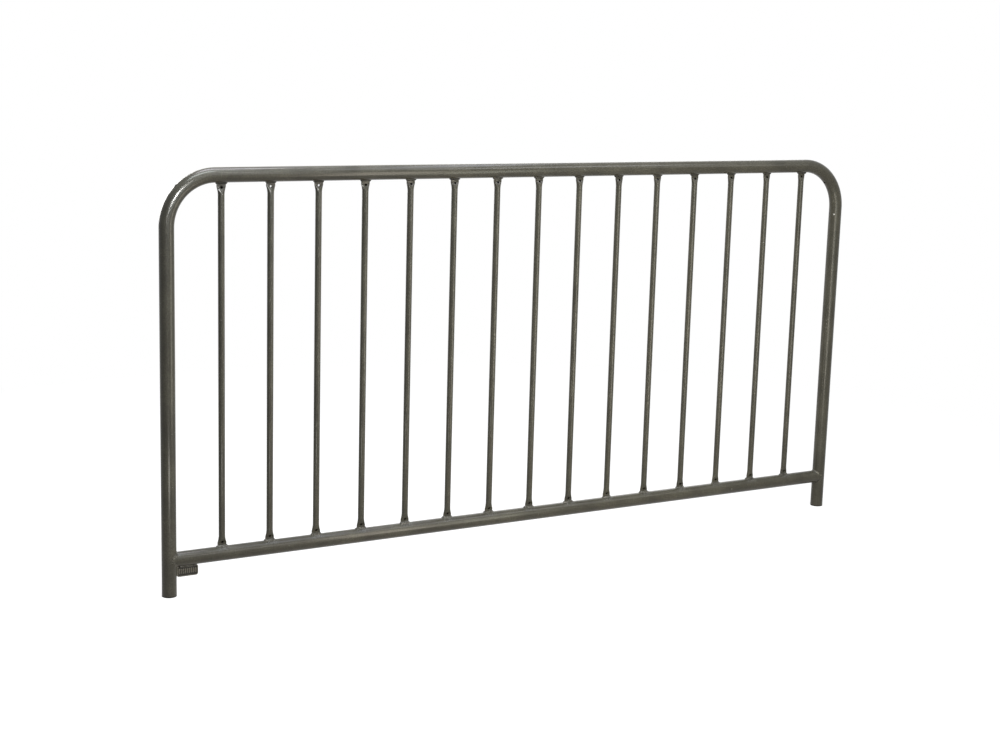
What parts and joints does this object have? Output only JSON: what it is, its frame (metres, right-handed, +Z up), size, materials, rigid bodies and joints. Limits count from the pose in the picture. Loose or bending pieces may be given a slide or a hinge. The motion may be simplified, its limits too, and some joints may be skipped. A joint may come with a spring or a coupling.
{
  "type": "safety guard rail",
  "caption": "Fixed pedestrian guard rail panel of welded round steel tube, with rounded top corners, a lower rail, upright bars and two legs that go into the ground.",
  "frame": {"origin": "on the ground, midway between the two legs, in the plane of the panel", "axes": "+X along the rails, away from the leg with the tag; +Y to the back; +Z up"},
  "size_m": [2, 0.038, 1],
  "materials": {
    "paint": "dark warm grey metallic paint over galvanised steel tube, satin to semi-gloss, with light speckle and faint runs",
    "weld": "the same paint over rippled weld beads",
    "tag": "the same paint over a cast plate, darker in its recess"
  },
  "bodies": {
    "root": {"hoop_frame": "paint", "bottom_rail": "paint", "rail_weld_left": "weld", "rail_weld_right": "weld", "baluster_01": "paint", "bottom_weld_01": "weld", "top_weld_01": "weld", "baluster_02": "paint", "bottom_weld_02": "weld", "top_weld_02": "weld", "baluster_03": "paint", "bottom_weld_03": "weld", "top_weld_03": "weld", "baluster_04": "paint", "bottom_weld_04": "weld", "top_weld_04": "weld", "baluster_05": "paint", "bottom_weld_05": "weld", "top_weld_05": "weld", "baluster_06": "paint", "bottom_weld_06": "weld", "top_weld_06": "weld", "baluster_07": "paint", "bottom_weld_07": "weld", "top_weld_07": "weld", "baluster_08": "paint", "bottom_weld_08": "weld", "top_weld_08": "weld", "baluster_09": "paint", "bottom_weld_09": "weld", "top_weld_09": "weld", "baluster_10": "paint", "bottom_weld_10": "weld", "top_weld_10": "weld", "baluster_11": "paint", "bottom_weld_11": "weld", "top_weld_11": "weld", "baluster_12": "paint", "bottom_weld_12": "weld", "top_weld_12": "weld", "baluster_13": "paint", "bottom_weld_13": "weld", "top_weld_13": "weld", "baluster_14": "paint", "bottom_weld_14": "weld", "top_weld_14": "weld", "baluster_15": "paint", "bottom_weld_15": "weld", "top_weld_15": "weld", "tag_plate": "tag", "tag_weld_front": "weld", "tag_weld_back": "weld"}
  },
  "joints": []
}
